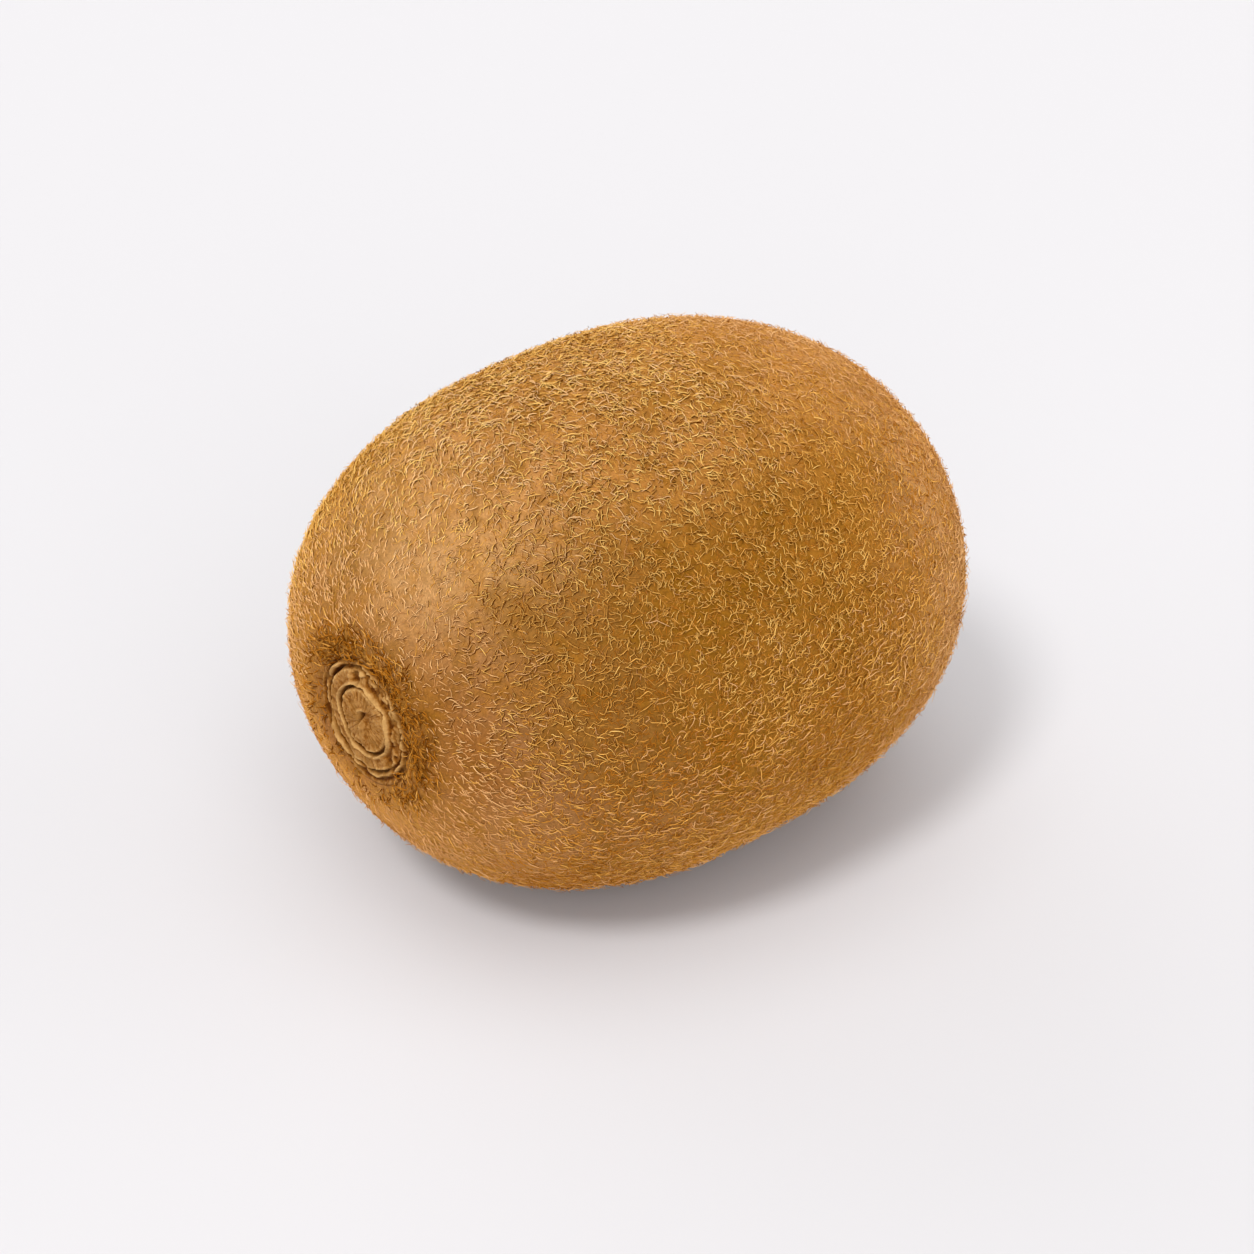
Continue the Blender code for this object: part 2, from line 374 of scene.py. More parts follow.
def end_cap(name, side, edge, rings, sides, height_at, depth, material):
    """A closed round cap over one end of the fruit (side -1 or 1), with the relief that height_at gives. It
    goes depth mm below the smooth skin in its middle."""
    radii = edge * np.arange(1, rings + 1) / rings
    radius, angle = np.meshgrid(radii, np.arange(sides) * 2.0 * math.pi / sides, indexing="ij")
    y, z = radius * np.cos(angle), radius * np.sin(angle)
    height = height_at(radius, angle, np.stack([np.zeros_like(y), y, z], -1))
    mean_half = 0.5 * (HALF[1] + HALF[2])
    base = HALF[0] * (1.0 - (radius / mean_half) ** FULLNESS) ** (1.0 / FULLNESS)
    top = np.stack([side * (base + smooth_end(side, radius, angle) + height), y, z], -1)
    middle = HALF[0] + float(smooth_end(side, 0.0, 0.0))
    middle_height = height_at(np.zeros(1), np.zeros(1), np.zeros((1, 3)))[0]
    centre, under = [[side * (middle + middle_height), 0.0, 0.0]], [[side * (middle - depth), 0.0, 0.0]]
    points = np.concatenate([top.reshape(-1, 3), centre, under])

    count = rings * sides
    index = np.arange(count).reshape(rings, sides)
    after = np.roll(index, -1, axis=1)
    quads = np.stack([index[:-1], index[1:], after[1:], after[:-1]], -1).reshape(-1, 4)
    fan = np.stack([np.full(sides, count), index[0], after[0]], -1)
    close = np.stack([np.full(sides, count + 1), after[-1], index[-1]], -1)
    if side > 0:
        quads, fan, close = quads[:, ::-1], fan[:, ::-1], close[:, ::-1]
    polygons = np.concatenate([quads.ravel(), fan.ravel(), close.ravel()])
    sizes = np.concatenate([np.full(len(quads), 4), np.full(2 * sides, 3)])

    flat = 0.5 + 0.47 * points[:, 1:] / edge
    flat[-1] = 0.5
    uv = flat[polygons]
    hidden = slice(quads.size + fan.size, None)
    uv[hidden] = 0.03 + 0.02 * (uv[hidden] - 0.5)  # the hidden underside takes one corner of the map
    piece = mesh_object(name, points, polygons, sizes, uv, material)
    # painted shade in the gaps and painted highlight on the edges, kept in the relief attribute
    shade_by_depth = cavity_shade(height)
    relief = np.concatenate([shade_by_depth.ravel(), [shade_by_depth[0].mean(), 0.0]])
    layer = piece.data.attributes.new("relief", "FLOAT", "POINT")
    layer.data.foreach_set("value", relief.astype(np.float32))


# ------------------------------------------------ fuzz
SEGMENTS = 4  # of each hair, from its root to its tip
HAIR_TRIANGLES = 6 * SEGMENTS + 2
PIECE_TRIANGLES = 195000  # a piece of fuzz has fewer than this
LIT_FROM = np.array([-0.72, -0.35, 0.60])  # the hairs' painted shade, their dark flanks and the painted shadow hairs, lies on the side away from here
GOLDEN_ANGLE = math.pi * (3.0 - math.sqrt(5.0))
BODY_ROOTS, TUFT_ROOTS, STYLES = 122000, 2600, 46
ROOT_DEPTH = 0.12  # mm that a hair's root lies in the skin
NUDGE = 0.15  # mm, for measuring the skin's slope
LEAST_RING = 0.25  # mm, the smallest distance from the axis that a turn round it is worked out with
HAIR_MARGIN = 0.02  # free share of the map round the hairs' tones
FLANK_U = 0.004  # half a flank's width in the map


def roots(count, seed, jitter, low, high):
    """(arc, angle) of evenly spread points on the skin from arc low to high, each moved at random by up to
    jitter mm, and the random numbers' source."""
    rng = np.random.default_rng(seed)
    arcs = np.linspace(low, high, 3000)
    ring = np.hypot(*skin(arcs, np.full_like(arcs, 0.25 * math.pi))[:, 1:].T)
    area = np.concatenate([[0.0], np.cumsum(0.5 * (ring[1:] + ring[:-1]))])
    arc = np.interp((np.arange(count) + 0.5) / count * area[-1], area, arcs)
    around = np.maximum(np.interp(arc, arcs, ring), 0.3)
    angle = np.arange(count) * GOLDEN_ANGLE
    arc = arc + jitter * rng.uniform(-1.0, 1.0, count)
    angle = angle + jitter * rng.uniform(-1.0, 1.0, count) / around
    return np.clip(arc, low, high), angle, rng


def slopes(arc, angle):
    """The skin's points (mm), their distances from the axis, and the ways along the skin and round it."""
    place = skin(arc, angle)
    ring = np.maximum(np.hypot(place[:, 1], place[:, 2]), LEAST_RING)
    along = skin(arc + NUDGE, angle) - skin(arc - NUDGE, angle)
    around = skin(arc, angle + NUDGE / ring) - skin(arc, angle - NUDGE / ring)
    return place, ring, along, around


def grow(arc, angle, heading, length, curl, kink, lift, tip_lift):
    """Points (n, SEGMENTS + 1, 3) of hairs that walk over the skin, and the skin's normals under them."""
    stride = length / SEGMENTS
    path, normals = [], []
    for k in range(SEGMENTS + 1):
        share = k / SEGMENTS
        place, ring, along, around = slopes(arc, angle)
        normal = unit(np.cross(around, along))
        sprout = math.sin(min(1.0, 1.6 * share) * 0.5 * math.pi)
        rise = skin_detail(place) - ROOT_DEPTH + (lift + ROOT_DEPTH) * sprout + (tip_lift - lift) * share**2
        path.append(place + normal * rise[:, None])
        normals.append(normal)
        heading = heading + (curl / SEGMENTS) + kink[:, min(k, SEGMENTS - 1)]
        arc = np.clip(arc + stride * np.cos(heading), 0.2, ARC[-1] - 0.2)
        angle = angle + stride * np.sin(heading) / ring
    return np.stack(path, 1), np.stack(normals, 1)


def away_from_light(arc, angle, distance):
    """(arc, angle) moved over the skin by distance mm, away from LIT_FROM."""
    _, ring, along, around = slopes(arc, angle)
    lit = np.stack([unit(along) @ LIT_FROM, unit(around) @ LIT_FROM])
    lit *= distance / np.maximum(np.linalg.norm(lit, axis=0), 1e-6)
    return arc - lit[0], angle - lit[1] / ring


def hair_object(name, path, normals, width, tone, dark_tone, shade, pale, material):
    """Tapered three-sided tubes along the paths, as one mesh, each with a light flank and a dark one on the
    side away from LIT_FROM, the dark flank being painted shade. u of the map is a flank's tone, in the upper
    half for pale hairs, and v runs up the hair. shade is the dark flank's share of the width."""
    tone, dark_tone = (0.5 * (pale + np.clip(a, 0.015, 0.985)) for a in (tone, dark_tone))
    tangent = np.gradient(path, axis=1)
    tangent /= np.linalg.norm(tangent, axis=2, keepdims=True) + 1e-9
    side = np.cross(tangent, normals)
    side /= np.linalg.norm(side, axis=2, keepdims=True) + 1e-9
    up = np.cross(side, tangent)
    shade_way = np.where((side.sum(1) @ LIT_FROM) < 0.0, 1.0, -1.0)  # which way along side the dark flank, painted shade, lies
    share = np.linspace(0.0, 1.0, SEGMENTS + 1)
    across = (width[:, None] * (1.0 - 0.62 * share[None] ** 1.8))[..., None]
    ridge = (shade_way * (0.5 - shade))[:, None, None]
    corners = [path + across * (ridge * side + 0.42 * up), path - across * (0.5 * side + 0.12 * up),
               path + across * (0.5 * side - 0.12 * up)]
    points = np.stack(corners, 2)  # hair, ring, corner
    index = np.arange(points.size // 3).reshape(points.shape[:3])
    after = np.roll(index, -1, axis=2)
    quads = np.stack([index[:, :-1], after[:, :-1], after[:, 1:], index[:, 1:]], -1)
    ends = np.stack([index[:, 0, ::-1], index[:, -1]], 1)
    polygons = np.concatenate([quads.ravel(), ends.ravel()])
    sizes = np.concatenate([np.full(quads.size // 4, 4), np.full(ends.size // 3, 3)])

    left, right = np.where(shade_way < 0.0, dark_tone, tone), np.where(shade_way > 0.0, dark_tone, tone)
    flanks = np.stack([left, dark_tone, right], -1)
    u = flanks[:, None, :, None] + FLANK_U * np.array([-1.0, 1.0, 1.0, -1.0])
    v = np.stack([share[:-1], share[:-1], share[1:], share[1:]], -1)[None, :, None, :]
    end_u = dark_tone[:, None, None] + FLANK_U * np.array([0.0, -1.0, 1.0])
    end_v = np.array([[FLANK_U, 0.0, 0.0], [1.0 - FLANK_U, 1.0, 1.0]])
    uv = [np.concatenate([np.broadcast_to(a, quads.shape).ravel(), np.broadcast_to(b, ends.shape).ravel()])
          for a, b in ((u, end_u), (v, end_v))]
    uv = HAIR_MARGIN + (1.0 - 2.0 * HAIR_MARGIN) * np.clip(np.stack(uv, -1), 0.0, 1.0)
    mesh_object(name, points, polygons, sizes, uv, material)


def near(points, spot, reach):
    """1 at a spot, fading away round it."""
    return bump(np.linalg.norm(points - spot, axis=1), reach)


def fuzz_zones(arc, angle, base):
    """What the fuzz is like at each root, in shares from 0 to 1."""
    rise = np.sin(angle)
    # the smoother shoulder reaches further over the top
    past = arc - 8.0 * fade(np.sin(angle + 0.3), 0.3, 0.95)
    far = fade(past, 11.0, 27.0)
    side = fade(arc, 14.0, 34.0)
    low = (1.0 - fade(rise, -0.45 + 0.15 * side, 0.20 + 0.35 * side)) * (0.8 + 0.2 * fade(arc, 12.0, 28.0))
    return SimpleNamespace(
        far=far,  # past the shoulder
        side=side,  # how far the hairs lean round the fruit instead of along it
        low=low,  # on the lower flanks and below
        top=fade(rise, 0.72, 0.98) * far,  # on the fruit's back, past the shoulder, where the hairs get painted light
        loose=fade(past, 14.0, 31.0),  # 0 where combed away from the stem end, 1 where hairs curl freely
        calm=np.maximum(0.9 * fade(arc, 46.0, 68.0), low),  # 1 where the fuzz is short and soft
        blossom=fade(arc + 5.0 * noise(base, 8.0, 79), 52.0, 78.0),  # towards the blossom end
        # a paler patch on the shoulder that also holds its painted highlight
        highlight_spot=near(base, HIGHLIGHT_SPOT, 13.0),
        dark_spot=near(base, DARK_SPOT, 9.0),
    )


def body_tone(zone, arc, angle, base, bright):
    """How light the hairs of a place are, from 0 to 1, with painted light on the shoulder's highlight, along
    the top and on the blossom end's lower sides, and painted shade low down near the floor.
    """
    # golden hairs lighter on the shoulder's painted highlight
    golden, lying = 0.678 - 0.135 * zone.calm + 0.10 * zone.highlight_spot, 0.46 + 0.10 * (1.0 - zone.far)
    # painted light: hairs lighter along the top
    tone = np.where(bright, golden, lying) + 0.07 * zone.top * (1.0 - zone.blossom)
    # painted rim light and shade: at the blossom end, hairs lighter on the lower sides and darker on top
    tone = tone + 0.05 * zone.blossom * (1.0 - 1.6 * fade(np.sin(angle), 0.1, 0.6))
    # the first term is painted shade: hairs darker low down, near the floor; the second darkens them near the
    # stem end
    tone = tone - 0.18 * (1.0 - fade(base[:, 2], -24.0, -17.0)) - 0.05 * (1.0 - fade(arc, 9.0, 20.0))
    return tone - 0.05 * zone.dark_spot - 0.05 * zone.low * (1.0 - fade(arc, 24.0, 40.0))


def body_fuzz(material):
    """The fuzz all over the fruit, in two kinds: golden hairs that curl over the skin, and browner ones that
    lie on it; beside most golden hairs a dark hair lies flat on the skin as their painted shadow."""
    arc, angle, rng = roots(BODY_ROOTS, 11, 0.27, 8.0, ARC[-1] - 0.4)
    base = skin(arc, angle)
    zone = fuzz_zones(arc, angle, base)
    clump = noise(base, 1.5, 61) + 0.7 * noise(base, 0.8, 62)
    chance = (0.52 + 0.20 * zone.far) * (1.0 - 0.25 * zone.low * (1.0 - zone.far))
    chance = chance * (0.50 + 0.50 * fade(arc, 8.5, 14.0)) * np.clip(1.0 + 0.22 * clump, 0.2, 1.6)
    keep = rng.random(len(arc)) < chance
    arc, angle, base = arc[keep], angle[keep], base[keep]
    zone = SimpleNamespace(**{name: values[keep] for name, values in vars(zone).items()})
    n = len(arc)
    bright = rng.random(n) < 0.40 + 0.02 * zone.far - 0.22 * zone.calm  # the golden hairs

    scatter = 50.0 * zone.loose * np.clip(1.0 + 0.9 * noise(base, 5.5, 71), 0.3, 1.5)
    scatter = np.radians(20.0 + scatter * (1.0 - np.where(bright, 0.7, 0.4) * zone.low))
    heading = -(0.38 + 0.62 * zone.calm) * zone.side + 0.9 * noise(base, 2.6, 73) * (0.3 + 0.7 * zone.loose)
    heading = heading + rng.normal(0.0, 1.0, n) * scatter
    length = 0.82 + 0.30 * zone.far * (1.0 - 0.60 * zone.calm) + 0.08 * zone.low
    length = length * np.exp(rng.normal(0.0, 0.35, n)) * np.where(bright, 1.0 + 0.3 * zone.low, 0.95)
    curl = rng.normal(0.0, 0.3 + 0.5 * zone.loose, n)
    kink = rng.normal(0.0, 0.35 + 0.55 * zone.loose[:, None], (n, SEGMENTS))
    lift = np.where(bright, 0.12 + 0.07 * zone.far, 0.05)
    lift = lift + np.where(bright, 0.06, 0.02) * np.abs(rng.normal(0.0, 1.0, n))
    golden_rise, lying_rise = 0.05 + 0.14 * rng.normal(0.0, 1.0, n), 0.02 * rng.normal(0.0, 1.0, n)
    tip_lift = np.clip(lift + np.where(bright, golden_rise, lying_rise), 0.03, 0.60)
    width = 0.095 + 0.018 * rng.normal(0.0, 1.0, n)

    tone = body_tone(zone, arc, angle, base, bright)
    tone = tone + np.where(bright, 0.07, 0.05) * rng.normal(size=n) + 0.05 * noise(base, 7.0, 77)
    # the dark flank's tone and share of the width: painted shade
    dark_tone = 0.13 + 0.20 * zone.calm + 0.06 * (1.0 - zone.far) + 0.03 * rng.normal(size=n)
    shade = 0.46 - 0.03 * (1.0 - zone.far) - 0.12 * zone.calm + 0.06 * rng.normal(size=n)
    # pale hairs near the stem end and at the blossom end, there partly as painted rim light; more on the
    # shoulder's painted highlight and along the top, as painted light
    paleness = 0.90 * (1.0 - fade(arc, 11.0, 23.0)) + 0.90 * zone.blossom + 0.4 * zone.highlight_spot
    pale = rng.random(n) < np.clip(paleness + 0.30 * zone.top + 0.35 * zone.low, 0.0, 0.9)

    # painted shadow: a dark hair laid flat on the skin beside most golden ones, on their side away from
    # LIT_FROM
    shadow_twin = np.flatnonzero(bright & (rng.random(n) < 1.0 - 0.85 * zone.calm))
    shadow_arc, shadow_angle = away_from_light(arc[shadow_twin], angle[shadow_twin], rng.uniform(0.09, 0.14, len(shadow_twin)))
    arc, angle = np.append(arc, shadow_arc), np.append(angle, shadow_angle)
    heading, length, curl, kink, shade, pale = (
        np.concatenate([a, a[shadow_twin]]) for a in (heading, length, curl, kink, shade, pale))
    lift, tip_lift = (np.append(a, np.full(len(shadow_twin), 0.02)) for a in (lift, tip_lift))
    width = np.append(width, 0.106 + 0.018 * rng.normal(size=len(shadow_twin)))
    dark = 0.02 + 0.20 * zone.calm[shadow_twin] + 0.04 * (1.0 - zone.far[shadow_twin]) + 0.03 * rng.normal(size=len(shadow_twin))
    tone, dark_tone = np.append(tone, dark), np.append(dark_tone, dark)

    path, normals = grow(arc, angle, heading, length, curl, kink, lift, tip_lift)
    width, shade = np.clip(width, 0.06, 0.20), np.clip(shade, 0.2, 0.85)
    count = math.ceil(len(arc) * HAIR_TRIANGLES / PIECE_TRIANGLES)
    for i, part in enumerate(np.array_split(np.argsort(arc, kind="stable"), count)):
        parts = (a[part] for a in (path, normals, width, tone, dark_tone, shade, pale))
        hair_object(f"fuzz_{i + 1}", *parts, material)


def tuft_fuzz(material):
    """The dark tuft round the stem scar, thickest on one side of it."""
    arc, angle, rng = roots(TUFT_ROOTS, 12, 0.30, 5.8, 9.8)
    base = skin(arc, angle)
    thick_side = 0.18 + 0.82 * fade(np.cos(angle - 2.3), -0.5, 0.6)
    clump = np.clip(0.85 + 0.9 * noise(base, 1.2, 81), 0.1, 1.3)
    keep = rng.random(len(arc)) < (1.0 - 0.75 * fade(arc, 7.2, 10.4)) * clump * thick_side
    arc, angle, base, thick_side = (a[keep] for a in (arc, angle, base, thick_side))
    n = len(arc)
    dark = rng.random(n) < 0.45
    heading = rng.normal(0.0, 0.8, n) + 0.6 * noise(base, 1.6, 83)
    length = (0.70 + 0.25 * thick_side) * np.exp(rng.normal(0.0, 0.30, n))
    curl = rng.normal(0.0, 1.2, n)
    kink = rng.normal(0.0, 0.50, (n, SEGMENTS))
    lift = np.where(dark, 0.06, 0.18) + np.abs(rng.normal(0.0, 0.09, n))
    tip_lift = np.clip(lift + rng.normal(0.06, 0.15, n) + 0.08 * thick_side, 0.05, 0.70)
    width = 0.115 + 0.04 * rng.random(n)
    tone = np.where(dark, 0.18, 0.38) + 0.07 * rng.normal(size=n) + 0.08 * fade(arc, 7.5, 10.5)
    path, normals = grow(arc, angle, heading, length, curl, kink, lift, tip_lift)
    dark_tone, shade, pale = (np.full(n, value) for value in (0.10, 0.5, 0.0))
    hair_object("fuzz_tufts", path, normals, width, tone, dark_tone, shade, pale, material)


def dry_styles(material):
    """The dry brown styles that are left on the nub at the blossom end."""
    n = STYLES
    rng = np.random.default_rng(14)
    arc = ARC[-1] - rng.uniform(0.35, 1.5, n)
    angle = GOLDEN_ANGLE * np.arange(n)
    heading = math.pi + rng.normal(0.0, 0.5, n)
    length = rng.uniform(0.9, 2.3, n)
    lift = 0.15 + np.abs(rng.normal(0.0, 0.20, n))
    curl = rng.normal(0.0, 0.9, n)
    kink = rng.normal(0.0, 0.35, (n, SEGMENTS))
    tip_lift = lift + rng.uniform(0.0, 0.7, n)
    path, normals = grow(arc, angle, heading, length, curl, kink, lift, tip_lift)
    width = rng.uniform(0.16, 0.26, n)
    tone = rng.uniform(0.14, 0.36, n)
    dark_tone, shade, pale = (np.full(n, value) for value in (0.06, 0.5, 0.0))
    hair_object("dry_styles", path, normals, width, tone, dark_tone, shade, pale, material)


# ------------------------------------------------ materials
SKIN_ALONG = (  # the bare skin's colours, by the share of the way from the stem end
    (0.0, (0.28, 0.105, 0.022)), (0.08, (0.30, 0.130, 0.042)), (0.18, (0.25, 0.108, 0.022)),
    (0.34, (0.255, 0.102, 0.010)), (0.60, (0.30, 0.118, 0.013)), (0.86, (0.46, 0.236, 0.098)),
    (0.98, (0.38, 0.170, 0.050)),
)
# a paler patch with the shoulder's painted highlight on it, painted shade for low down near the floor, and
# painted light for along the top
HIGHLIGHT_SKIN, UNDERSIDE_SHADE, TOP_LIT_SKIN = (0.52, 0.275, 0.100), (0.12, 0.040, 0.003), (0.54, 0.235, 0.062)
# the skin of the stem end's lower side, and of the blossom end's lower side, which is paler there partly as
# painted rim light
STEM_SKIN, BLOSSOM_SKIN_AND_RIM_LIGHT = (0.40, 0.178, 0.062), (0.61, 0.350, 0.158)
DARK_PATCH, RUSTY_PATCH, DARK_FLECK = (0.225, 0.090, 0.005), (0.36, 0.144, 0.016), (0.20, 0.078, 0.001)
SCAR_DEPTH_SHADES = (  # the scar's colours, from its gaps to its edges: painted shade in the gaps, painted highlight on the edges and high parts
    (0.19, (0.08, 0.019, 0.0005)), (0.40, (0.19, 0.065, 0.007)), (0.60, (0.34, 0.16, 0.042)),
    (0.88, (0.50, 0.28, 0.095)),
)
SCAR_STAIN = (0.25, 0.115, 0.026)
# a hair's colours, by its tone; the low tones are the painted shade of dark flanks and painted shadow hairs
GOLDEN_HAIR = (
    (0.0, (0.05, 0.010, 0.0002)), (0.15, (0.14, 0.036, 0.001)), (0.36, (0.40, 0.138, 0.010)),
    (0.62, (0.76, 0.39, 0.085)), (0.85, (0.96, 0.61, 0.18)), (1.0, (0.98, 0.70, 0.28)),
)
PALE_HAIR = (
    (0.0, (0.07, 0.018, 0.002)), (0.15, (0.19, 0.062, 0.009)), (0.36, (0.47, 0.205, 0.060)),
    (0.62, (0.78, 0.43, 0.17)), (0.85, (0.91, 0.57, 0.26)), (1.0, (0.95, 0.65, 0.33)),
)
# hairs darker towards the root: painted shade where each hair leaves the skin
HAIR_ROOT = ((0.0, (0.03, 0.008, 0.001)), (0.5, (0.10, 0.030, 0.003)), (1.0, (0.20, 0.080, 0.012)))
SHEEN, SKIN_GLOSS = (1.0, 0.46, 0.06, 1.0), (1.0, 0.46, 0.09, 1.0)
SCAR_GLOSS, HAIR_SHEEN = (1.0, 0.55, 0.18, 1.0), (1.0, 0.40, 0.06, 1.0)


class Nodes:
    """A short way to write a material's nodes."""

    def __init__(self, name):
        self.material = bpy.data.materials.new(name)
        self.material.use_nodes = True
        self.tree = self.material.node_tree
        self.shader = self.tree.nodes["Principled BSDF"]

    def put(self, socket, value):
        """Link a node's output to the socket, or set the socket's own value."""
        if isinstance(value, bpy.types.NodeSocket):
            self.tree.links.new(value, socket)
        else:
            socket.default_value = value

    def add(self, kind, values=(), **settings):
        node = self.tree.nodes.new(kind)
        for key, value in settings.items():
            setattr(node, key, value)
        for key, value in dict(values).items():
            self.put(node.inputs[key], value)
        return node

    def noise(self, where, size, detail=2.0, roughness=0.5, distortion=0.0):
        """Noise with features of about size metres, from about 0.3 to 0.7."""
        return self.add("ShaderNodeTexNoise", {"Vector": where, "Scale": 1.0 / size, "Detail": detail,
                                               "Roughness": roughness, "Distortion": distortion}).outputs[0]

    def ramp(self, factor, stops):
        """A colour for each factor, eased from one (position, colour) to the next."""
        node = self.add("ShaderNodeValToRGB", {"Fac": factor})
        node.color_ramp.interpolation = "EASE"
        for i, (position, colour) in enumerate(stops):
            stop = node.color_ramp.elements[i] if i < 2 else node.color_ramp.elements.new(position)
            stop.position = position
            stop.color = (*colour, 1.0)
        return node.outputs[0]

    def grey(self, factor, *stops):
        """A number for each factor, eased from one (position, number) to the next."""
        return self.ramp(factor, [(position, (value, value, value)) for position, value in stops])

    def mix(self, factor, a, b, blend="MIX"):
        node = self.add("ShaderNodeMix", data_type="RGBA", blend_type=blend)
        for key, value in ((0, factor), (6, a), (7, b)):
            self.put(node.inputs[key], (*value, 1.0) if isinstance(value, tuple) else value)
        return node.outputs[2]

    def math(self, operation, *values):
        return self.add("ShaderNodeMath", enumerate(values), operation=operation).outputs[0]

    def surface(self, colour, roughness, **values):
        """The finished material. Each further value is for the shader's socket of that name."""
        self.put(self.shader.inputs["Base Color"], colour)
        self.put(self.shader.inputs["Roughness"], roughness)
        for key, value in values.items():
            self.put(self.shader.inputs[key.replace("_", " ")], value)
        return self.material

    def bump(self, height, strength, distance):
        values = {"Height": height, "Strength": strength, "Distance": distance}
        return self.add("ShaderNodeBump", values).outputs[0]


def skin_material():
    n = Nodes("kiwi_skin")
    where = n.add("ShaderNodeTexCoord").outputs["Object"]
    place = n.add("ShaderNodeSeparateXYZ", {"Vector": where})
    stem_x = (SHIFT[0] - HALF[0]) * MM
    along = n.add("ShaderNodeMapRange", {"Value": place.outputs[0], "From Min": stem_x,
                                         "From Max": stem_x + FRUIT_LENGTH * MM}).outputs[0]
    along = n.math("MULTIPLY_ADD", n.noise(where, 0.009), 0.22, n.math("ADD", along, -0.11))
    height = n.math("MULTIPLY", place.outputs[2], 20.0)  # 1 at 50 mm
    base = n.ramp(along, SKIN_ALONG)

    # a paler patch on the shoulder that is also the painted highlight there
    spot_values = {0: where, 1: tuple((HIGHLIGHT_SPOT + SHIFT) * MM)}
    distance = n.add("ShaderNodeVectorMath", spot_values, operation="DISTANCE").outputs["Value"]
    spot = n.math("MULTIPLY_ADD", n.noise(where, 0.006), -0.3, n.math("MULTIPLY_ADD", distance, -55.0, 1.35))
    base = n.mix(n.grey(spot, (0.20, 0.0), (0.90, 0.85)), base, HIGHLIGHT_SKIN)
    # painted shade: darker low down, near the floor
    base = n.mix(n.grey(height, (0.0, 0.7), (0.16, 0.0)), base, UNDERSIDE_SHADE)
    # painted light: lighter along the top
    base = n.mix(n.grey(height, (0.82, 0.0), (0.97, 0.7)), base, TOP_LIT_SKIN)
    at_stem, below = n.grey(along, (0.10, 0.8), (0.50, 0.0)), n.grey(height, (0.18, 1.0), (0.52, 0.0))
    base = n.mix(n.math("MULTIPLY", at_stem, below), base, STEM_SKIN)
    # paler skin at the blossom end's lower side, partly as painted rim light
    at_blossom, below = n.grey(along, (0.58, 0.0), (0.92, 0.7)), n.grey(height, (0.30, 1.0), (0.75, 0.0))
    base = n.mix(n.math("MULTIPLY", at_blossom, below), base, BLOSSOM_SKIN_AND_RIM_LIGHT)

    base = n.mix(n.grey(n.noise(where, 0.010, 3.0, 0.55), (0.42, 0.0), (0.66, 0.5)), base, DARK_PATCH)
    small = n.noise(where, 0.0028, 3.0, 0.6)
    base = n.mix(n.grey(small, (0.46, 0.0), (0.70, 0.5)), base, RUSTY_PATCH)
    base = n.mix(n.grey(n.noise(where, 0.0024), (0.50, 0.0), (0.70, 0.4)), base, DARK_FLECK)
    felt = n.noise(where, 0.00038, 3.0, 0.65, 1.2)
    base = n.mix(1.0, base, n.grey(felt, (0.38, 0.74), (0.60, 1.0)), "MULTIPLY")
    fine = n.math("ADD", n.noise(where, 0.0007, 3.0, 0.6), felt)
    return n.surface(base, n.grey(small, (0.35, 0.50), (0.65, 0.64)), Normal=n.bump(fine, 0.8, 0.00018),
                     Sheen_Weight=0.9, Sheen_Roughness=0.35, Sheen_Tint=SHEEN, Specular_IOR_Level=0.08,
                     Specular_Tint=SKIN_GLOSS)


def scar_material():
    n = Nodes("stalk_scar")
    where = n.add("ShaderNodeTexCoord").outputs["Object"]
    # relief holds the painted shade of the gaps and the painted highlight of the edges
    relief = n.add("ShaderNodeAttribute", attribute_name="relief").outputs["Fac"]
    relief = n.math("MULTIPLY_ADD", n.noise(where, 0.0005, 4.0, 0.65), 0.7, n.math("ADD", relief, -0.35))
    patches = n.noise(where, 0.0014, 3.0, 0.6)
    base = n.mix(n.grey(patches, (0.45, 0.0), (0.66, 0.6)), n.ramp(relief, SCAR_DEPTH_SHADES), SCAR_STAIN)
    fine = n.noise(where, 0.00022, 4.0, 0.65)
    return n.surface(base, n.grey(patches, (0.35, 0.66), (0.65, 0.84)), Normal=n.bump(fine, 0.7, 0.00012),
                     Specular_IOR_Level=0.2, Specular_Tint=SCAR_GLOSS)


def hair_material():
    n = Nodes("kiwi_fuzz")
    uv = n.add("ShaderNodeSeparateXYZ", {"Vector": n.add("ShaderNodeUVMap", uv_map=UV_MAP).outputs[0]})
    half = 0.5 * (1.0 - 2.0 * HAIR_MARGIN)  # the share of the map that one kind's tones take
    doubled = n.math("MULTIPLY_ADD", uv.outputs[0], 1.0 / half, -HAIR_MARGIN / half)
    pale = n.math("GREATER_THAN", doubled, 1.0)
    tone = n.math("SUBTRACT", doubled, pale)
    tip = n.mix(pale, n.ramp(tone, GOLDEN_HAIR), n.ramp(tone, PALE_HAIR))
    # painted shade: darker towards the root
    colour = n.mix(n.grey(uv.outputs[1], (0.04, 0.0), (0.26, 1.0)), n.ramp(tone, HAIR_ROOT), tip)
    return n.surface(colour, 0.6, Specular_IOR_Level=0.0, Sheen_Weight=0.25, Sheen_Roughness=0.5,
                     Sheen_Tint=HAIR_SHEEN)


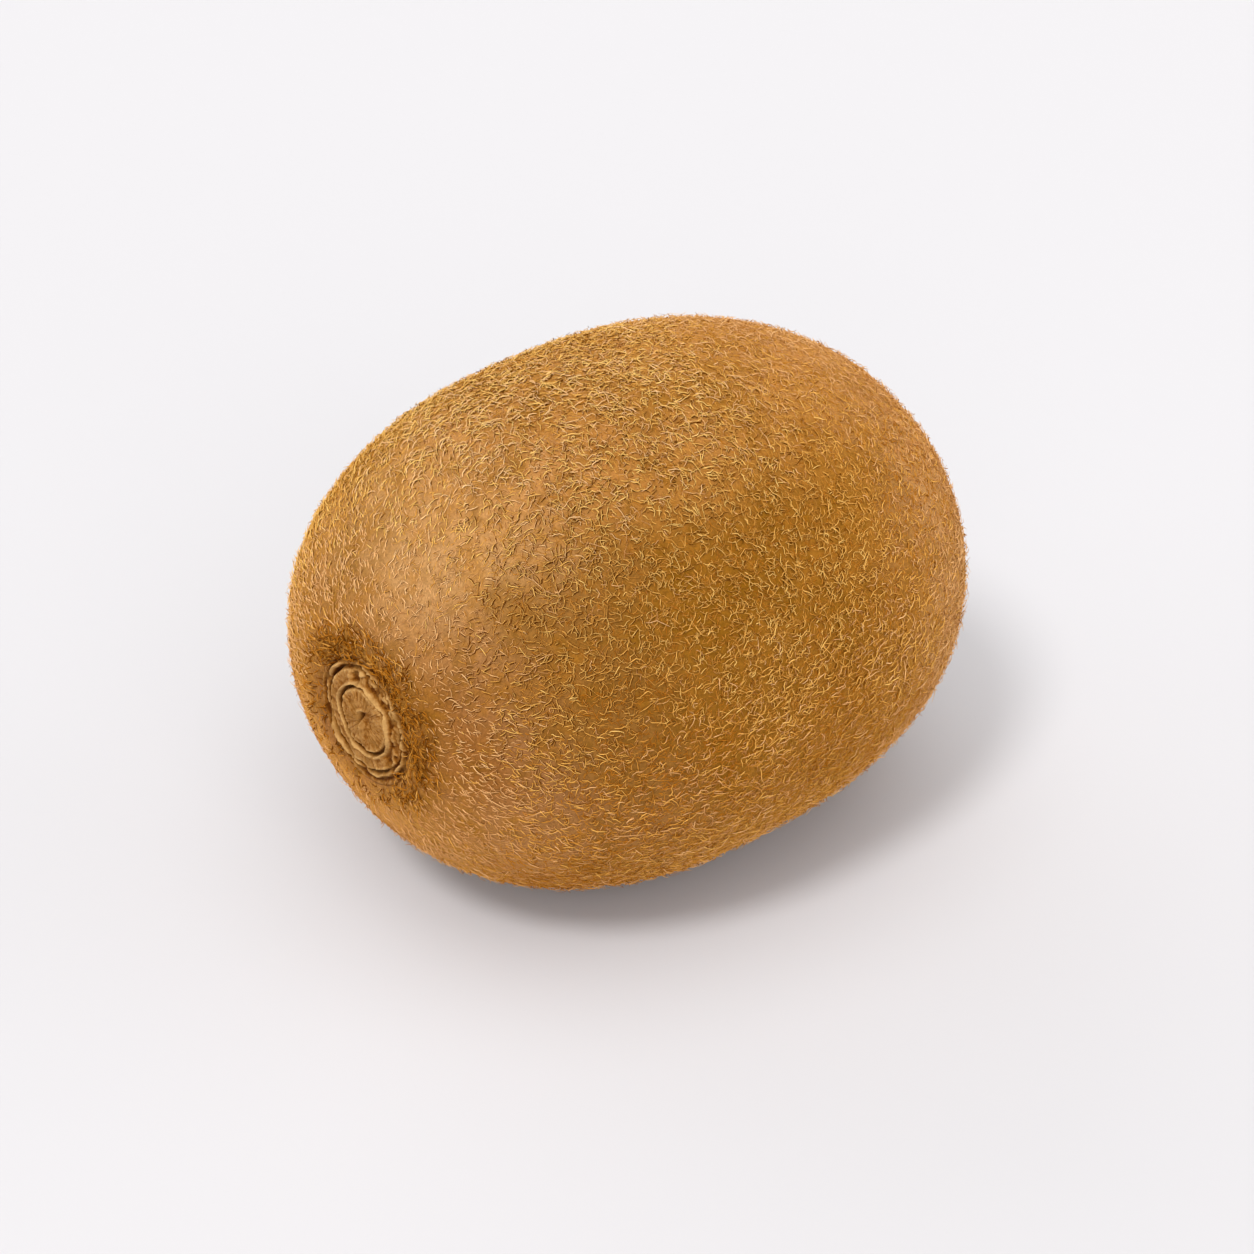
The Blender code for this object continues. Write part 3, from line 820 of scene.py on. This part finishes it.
# ------------------------------------------------ studio
CAMERA_AZIMUTH, CAMERA_ELEVATION, CAMERA_DISTANCE = -42.03, 31.60, 0.2884
CAMERA_LENS, SENSOR_WIDTH = 85.0, 36.0
CAMERA_AIM = Vector((-0.0014, -0.0009, -0.0026))  # from the fruit's middle
SUNS = (  # name, azimuth, elevation, spread (degrees), strength
    ("key", -72.0, 54.0, 14.0, 1.42),
    ("fill", -30.0, 16.0, 60.0, 1.44),
    ("front", -42.0, 42.0, 60.0, 0.44),
    ("overhead", -42.0, 80.0, 60.0, 0.97),
    ("rear", 174.0, 16.0, 60.0, 0.85),
    ("right", 50.0, 10.0, 60.0, 0.74),
    ("left_rear", -126.0, 8.0, 50.0, 0.58),
)
AMBIENT = 0.42
BACKDROP = (0.9259, 0.9080, 0.9259)  # as bright as the lit floor looks
FLOOR_COLOUR = (0.625, 0.612, 0.625)
FLOOR_HALF, FLOOR_DROP = 30.0, -0.00002  # metres


def direction(azimuth, elevation):
    """The way to something at this azimuth and elevation, in degrees. Azimuth 0 lies towards -Y."""
    a, e = math.radians(azimuth), math.radians(elevation)
    return Vector((math.sin(a) * math.cos(e), -math.cos(a) * math.cos(e), math.sin(e)))


def make_camera():
    data = bpy.data.cameras.new("camera")
    data.lens, data.sensor_width, data.clip_start = CAMERA_LENS, SENSOR_WIDTH, 0.01
    camera = bpy.data.objects.new("camera", data)
    bpy.context.scene.collection.objects.link(camera)
    back = direction(CAMERA_AZIMUTH, CAMERA_ELEVATION)
    aim = Vector(SHIFT * MM) + CAMERA_AIM
    camera.location = aim + CAMERA_DISTANCE * back
    camera.rotation_euler = back.to_track_quat("Z", "Y").to_euler()
    bpy.context.scene.camera = camera


def make_suns():
    for name, azimuth, elevation, spread, strength in SUNS:
        sun = bpy.data.lights.new(name, "SUN")
        sun.energy, sun.angle = strength, math.radians(spread)
        lamp = bpy.data.objects.new(name, sun)
        bpy.context.scene.collection.objects.link(lamp)
        lamp.rotation_euler = direction(azimuth, elevation).to_track_quat("Z", "Y").to_euler()


def make_world():
    """An even soft light all round, behind which the camera sees the backdrop's colour."""
    world = bpy.data.worlds.new("studio")
    world.use_nodes = True
    bpy.context.scene.world = world
    tree = world.node_tree
    tree.nodes.clear()
    out = tree.nodes.new("ShaderNodeOutputWorld")
    mix = tree.nodes.new("ShaderNodeMixShader")
    path = tree.nodes.new("ShaderNodeLightPath")
    lit, seen = (tree.nodes.new("ShaderNodeBackground") for _ in range(2))
    lit.inputs["Color"].default_value = (1.0, 1.0, 1.0, 1.0)
    lit.inputs["Strength"].default_value = AMBIENT
    seen.inputs["Color"].default_value = (*BACKDROP, 1.0)
    tree.links.new(path.outputs["Is Camera Ray"], mix.inputs[0])
    tree.links.new(lit.outputs[0], mix.inputs[1])
    tree.links.new(seen.outputs[0], mix.inputs[2])
    tree.links.new(mix.outputs[0], out.inputs["Surface"])


def make_floor():
    mesh = bpy.data.meshes.new("floor")
    corners = [(x * FLOOR_HALF, y * FLOOR_HALF, FLOOR_DROP) for x, y in ((-1, -1), (1, -1), (1, 1), (-1, 1))]
    mesh.from_pydata(corners, [], [(0, 1, 2, 3)])
    floor = bpy.data.objects.new("floor", mesh)
    bpy.context.scene.collection.objects.link(floor)
    material = bpy.data.materials.new("pale_paper")
    material.use_nodes = True
    shader = material.node_tree.nodes["Principled BSDF"]
    shader.inputs["Base Color"].default_value = (*FLOOR_COLOUR, 1.0)
    shader.inputs["Roughness"].default_value = 1.0
    shader.inputs["Specular IOR Level"].default_value = 0.0
    mesh.materials.append(material)


bpy.context.scene.view_settings.view_transform = "Standard"
make_camera()
make_suns()
make_world()
make_floor()
make_skin(skin_material())
DRY = scar_material()
end_cap("stem_scar", -1, SCAR_EDGE, rings=150, sides=420, height_at=scar_height, depth=1.3, material=DRY)
end_cap("blossom_tip", 1, TIP_EDGE, rings=56, sides=180, height_at=tip_height, depth=1.2, material=DRY)
HAIR = hair_material()
body_fuzz(HAIR)
tuft_fuzz(HAIR)
dry_styles(HAIR)
